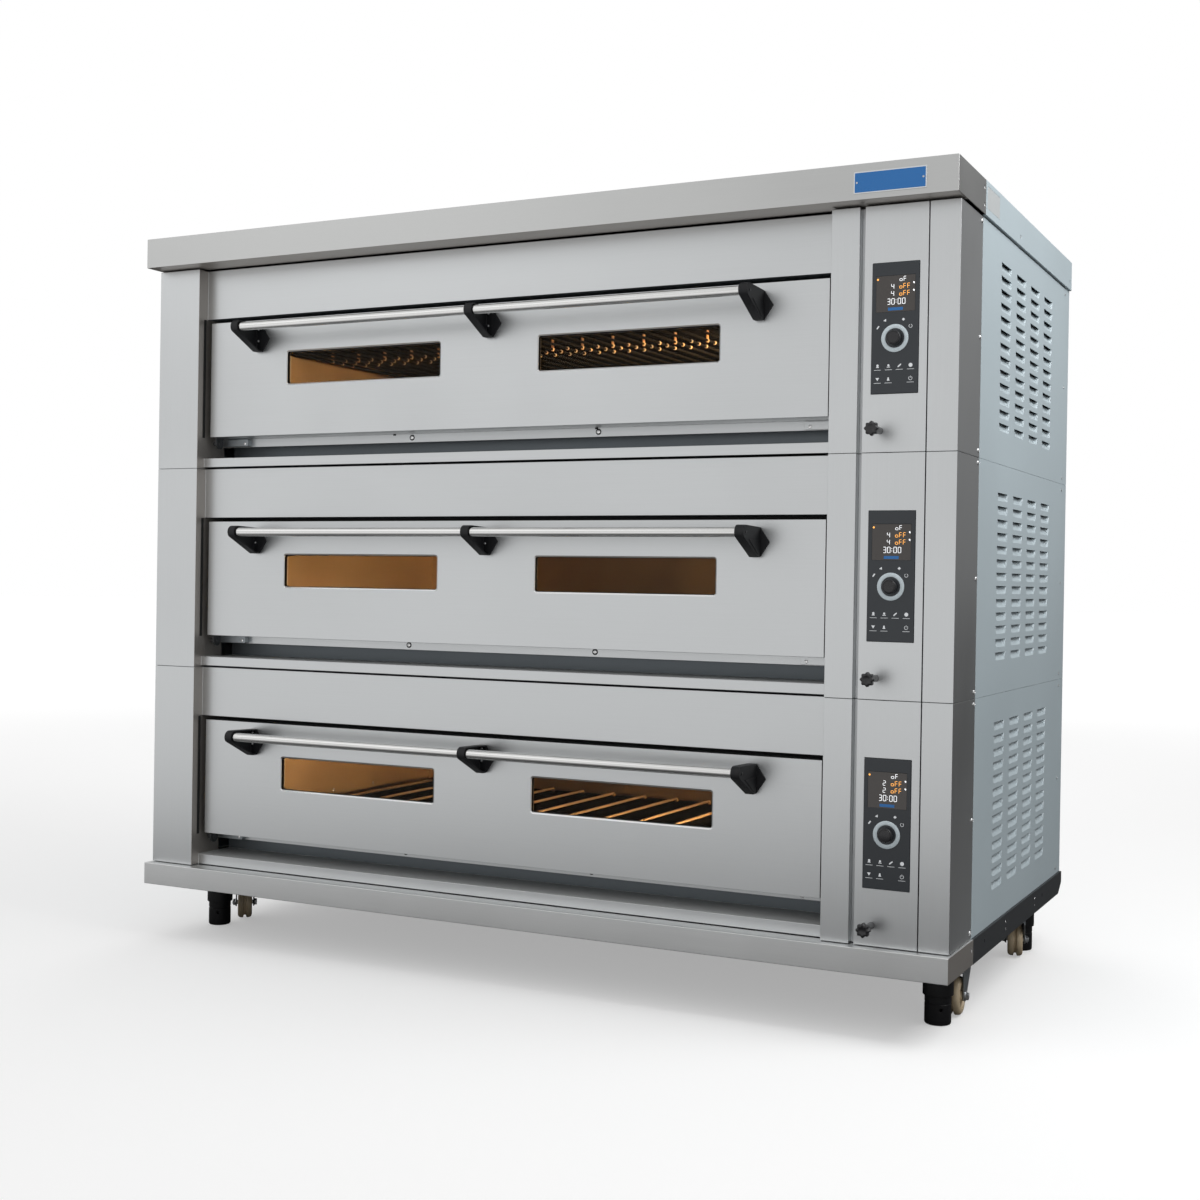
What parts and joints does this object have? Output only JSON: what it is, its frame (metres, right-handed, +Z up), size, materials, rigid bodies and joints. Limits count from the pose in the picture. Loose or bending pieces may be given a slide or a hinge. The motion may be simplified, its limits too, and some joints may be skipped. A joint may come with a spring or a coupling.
{
  "type": "deck oven",
  "caption": "Stacked electric bakery deck oven with drop-down windowed doors, bar handles, control column, louvred side, casters and levelling feet.",
  "frame": {"origin": "centre of the bounding box in plan, on the floor under the foot soles", "axes": "+Z up, front faces -Y, control column on the +X side"},
  "size_m": [1.88, 1.071, 1.602],
  "materials": {
    "front_stainless": "satin brushed stainless sheet",
    "door_stainless": "satin brushed stainless sheet",
    "grey_paint": "blue-grey satin paint",
    "dark_paint": "dark grey satin paint",
    "chamber_steel": "heat-tinted aluminised sheet",
    "heating_tube": "dark oxidised tube",
    "panel_plastic": "charcoal film-faced panel",
    "door_glass": "tinted heat-proof glass",
    "handle_steel": "polished stainless tube",
    "black_plastic": "black moulded bracket",
    "knob_plastic": "black moulded knob",
    "foot_black": "black levelling foot",
    "zinc": "zinc-plated pressed steel",
    "wheel_nylon": "tan nylon wheel"
  },
  "bodies": {
    "body": {"cap_front": "front_stainless", "top_cover": "grey_paint", "base_front": "front_stainless", "base_frame": "dark_paint", "casing": "grey_paint", "lower_front_frame": "front_stainless", "lower_side_panel": "grey_paint", "lower_chamber": "chamber_steel", "lower_heater_bottom": "heating_tube", "lower_heater_top": "heating_tube", "lower_control_panel": "panel_plastic", "middle_front_frame": "front_stainless", "middle_side_panel": "grey_paint", "middle_chamber": "chamber_steel", "middle_heater_bottom": "heating_tube", "middle_heater_top": "heating_tube", "middle_control_panel": "panel_plastic", "upper_front_frame": "front_stainless", "upper_side_panel": "grey_paint", "upper_chamber": "chamber_steel", "upper_heater_bottom": "heating_tube", "upper_heater_top": "heating_tube", "upper_control_panel": "panel_plastic"},
    "lower_door": {"lower_door": "door_stainless", "lower_door_glass": "door_glass", "lower_handle_bar": "handle_steel", "lower_bracket_left": "black_plastic", "lower_bracket_middle": "black_plastic", "lower_bracket_right": "black_plastic"},
    "lower_encoder": {"lower_encoder_knob": "knob_plastic"},
    "lower_damper": {"lower_damper_knob": "knob_plastic"},
    "middle_door": {"middle_door": "door_stainless", "middle_door_glass": "door_glass", "middle_handle_bar": "handle_steel", "middle_bracket_left": "black_plastic", "middle_bracket_middle": "black_plastic", "middle_bracket_right": "black_plastic"},
    "middle_encoder": {"middle_encoder_knob": "knob_plastic"},
    "middle_damper": {"middle_damper_knob": "knob_plastic"},
    "upper_door": {"upper_door": "door_stainless", "upper_door_glass": "door_glass", "upper_handle_bar": "handle_steel", "upper_bracket_left": "black_plastic", "upper_bracket_middle": "black_plastic", "upper_bracket_right": "black_plastic"},
    "upper_encoder": {"upper_encoder_knob": "knob_plastic"},
    "upper_damper": {"upper_damper_knob": "knob_plastic"},
    "foot_front_left": {"foot_front_left": "foot_black"},
    "foot_front_right": {"foot_front_right": "foot_black"},
    "foot_rear_left": {"foot_rear_left": "foot_black"},
    "foot_rear_right": {"foot_rear_right": "foot_black"},
    "caster_front_left": {"caster_fork_front_left": "zinc"},
    "wheel_front_left": {"caster_wheel_front_left": "wheel_nylon"},
    "caster_front_right": {"caster_fork_front_right": "zinc"},
    "wheel_front_right": {"caster_wheel_front_right": "wheel_nylon"},
    "caster_rear_left": {"caster_fork_rear_left": "zinc"},
    "wheel_rear_left": {"caster_wheel_rear_left": "wheel_nylon"},
    "caster_rear_right": {"caster_fork_rear_right": "zinc"},
    "wheel_rear_right": {"caster_wheel_rear_right": "wheel_nylon"}
  },
  "joints": [
    {"name": "lower_door_hinge", "type": "hinge", "parent": "body", "child": "lower_door", "pos_m": [-0.0645, -0.4135, 0.228], "axis": [1, 0, 0], "range_deg": [0, 90], "stiffness_Nm_per_rad": 8, "springref_deg": -42.97},
    {"name": "lower_encoder_turn", "type": "hinge", "parent": "body", "child": "lower_encoder", "pos_m": [0.816, -0.475, 0.377], "axis": [0, -1, 0], "continuous": true},
    {"name": "lower_damper_pull", "type": "slide", "parent": "body", "child": "lower_damper", "axis": [0, -1, 0], "range_m": [0, 0.05]},
    {"name": "middle_door_hinge", "type": "hinge", "parent": "body", "child": "middle_door", "pos_m": [-0.0645, -0.4135, 0.683], "axis": [1, 0, 0], "range_deg": [0, 90], "stiffness_Nm_per_rad": 8, "springref_deg": -42.97},
    {"name": "middle_encoder_turn", "type": "hinge", "parent": "body", "child": "middle_encoder", "pos_m": [0.816, -0.475, 0.832], "axis": [0, -1, 0], "continuous": true},
    {"name": "middle_damper_pull", "type": "slide", "parent": "body", "child": "middle_damper", "axis": [0, -1, 0], "range_m": [0, 0.05]},
    {"name": "upper_door_hinge", "type": "hinge", "parent": "body", "child": "upper_door", "pos_m": [-0.0645, -0.4135, 1.138], "axis": [1, 0, 0], "range_deg": [0, 90], "stiffness_Nm_per_rad": 8, "springref_deg": -42.97},
    {"name": "upper_encoder_turn", "type": "hinge", "parent": "body", "child": "upper_encoder", "pos_m": [0.816, -0.475, 1.287], "axis": [0, -1, 0], "continuous": true},
    {"name": "upper_damper_pull", "type": "slide", "parent": "body", "child": "upper_damper", "axis": [0, -1, 0], "range_m": [0, 0.05]},
    {"name": "foot_front_left_thread", "type": "slide", "parent": "body", "child": "foot_front_left", "axis": [0, 0, -1], "range_m": [0, 0.03]},
    {"name": "foot_front_right_thread", "type": "slide", "parent": "body", "child": "foot_front_right", "axis": [0, 0, -1], "range_m": [0, 0.03]},
    {"name": "foot_rear_left_thread", "type": "slide", "parent": "body", "child": "foot_rear_left", "axis": [0, 0, -1], "range_m": [0, 0.03]},
    {"name": "foot_rear_right_thread", "type": "slide", "parent": "body", "child": "foot_rear_right", "axis": [0, 0, -1], "range_m": [0, 0.03]},
    {"name": "caster_front_left_swivel", "type": "hinge", "parent": "body", "child": "caster_front_left", "pos_m": [-0.883, -0.2035, 0.1157], "axis": [0, 0, 1], "continuous": true},
    {"name": "wheel_front_left_roll", "type": "hinge", "parent": "caster_front_left", "child": "wheel_front_left", "pos_m": [-0.86538, -0.22526, 0.0385], "axis": [-0.7771, -0.6293, 0], "continuous": true},
    {"name": "caster_front_right_swivel", "type": "hinge", "parent": "body", "child": "caster_front_right", "pos_m": [0.883, -0.2035, 0.1157], "axis": [0, 0, 1], "continuous": true},
    {"name": "wheel_front_right_roll", "type": "hinge", "parent": "caster_front_right", "child": "wheel_front_right", "pos_m": [0.88446, -0.23146, 0.0385], "axis": [-0.9986, -0.0523, 0], "continuous": true},
    {"name": "caster_rear_left_swivel", "type": "hinge", "parent": "body", "child": "caster_rear_left", "pos_m": [-0.883, 0.3115, 0.1157], "axis": [0, 0, 1], "continuous": true},
    {"name": "wheel_rear_left_roll", "type": "hinge", "parent": "caster_rear_left", "child": "wheel_rear_left", "pos_m": [-0.89258, 0.33781, 0.0385], "axis": [0.9397, 0.342, 0], "continuous": true},
    {"name": "caster_rear_right_swivel", "type": "hinge", "parent": "body", "child": "caster_rear_right", "pos_m": [0.883, 0.3115, 0.1157], "axis": [0, 0, 1], "continuous": true},
    {"name": "wheel_rear_right_roll", "type": "hinge", "parent": "caster_rear_right", "child": "wheel_rear_right", "pos_m": [0.87718, 0.33889, 0.0385], "axis": [0.9781, 0.2079, 0], "continuous": true}
  ]
}
